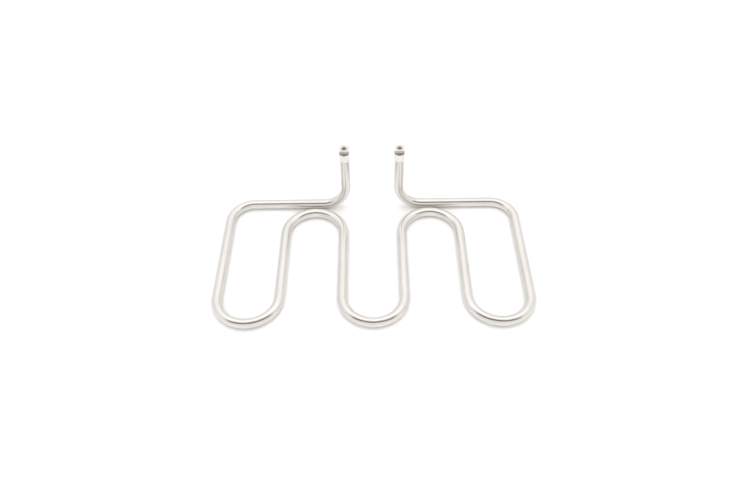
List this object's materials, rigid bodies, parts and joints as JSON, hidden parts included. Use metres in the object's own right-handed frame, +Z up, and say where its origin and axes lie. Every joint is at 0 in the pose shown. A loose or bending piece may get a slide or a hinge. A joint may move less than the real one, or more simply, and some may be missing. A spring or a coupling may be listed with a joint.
{
  "type": "waffle maker heating element",
  "caption": "Tubular heating element bent into a flat serpentine grid, with upright ends that carry ceramic beads, threaded studs and nuts.",
  "frame": {"origin": "centre of the footprint, on the surface that the flat grid lies on", "axes": "+Z up along the upright ends, +X to the right along the grid's longer side, +Y towards the back, where the ends stand"},
  "size_m": [0.221, 0.1188, 0.0589],
  "materials": {
    "sheath_steel": "bright annealed stainless steel",
    "magnesia": "packed powder",
    "coil_alloy": "oxidised wire",
    "pin_steel": "drawn",
    "end_seal": "cast silicone",
    "bead_ceramic": "unglazed steatite",
    "stud_steel": "rolled thread",
    "hex_nut_steel": "plated",
    "clamp_nut_steel": "plated"
  },
  "bodies": {
    "root": {"sheath_tube": "sheath_steel", "magnesia_fill": "magnesia", "resistance_coil": "coil_alloy", "cold_pin_left": "pin_steel", "cold_pin_right": "pin_steel", "end_seal_left": "end_seal", "end_seal_right": "end_seal", "ceramic_bead_left": "bead_ceramic", "ceramic_bead_right": "bead_ceramic", "terminal_stud_left": "stud_steel", "terminal_stud_right": "stud_steel", "hex_nut_left": "hex_nut_steel", "hex_nut_right": "hex_nut_steel", "clamp_nut_left": "clamp_nut_steel", "clamp_nut_right": "clamp_nut_steel"}
  },
  "joints": []
}
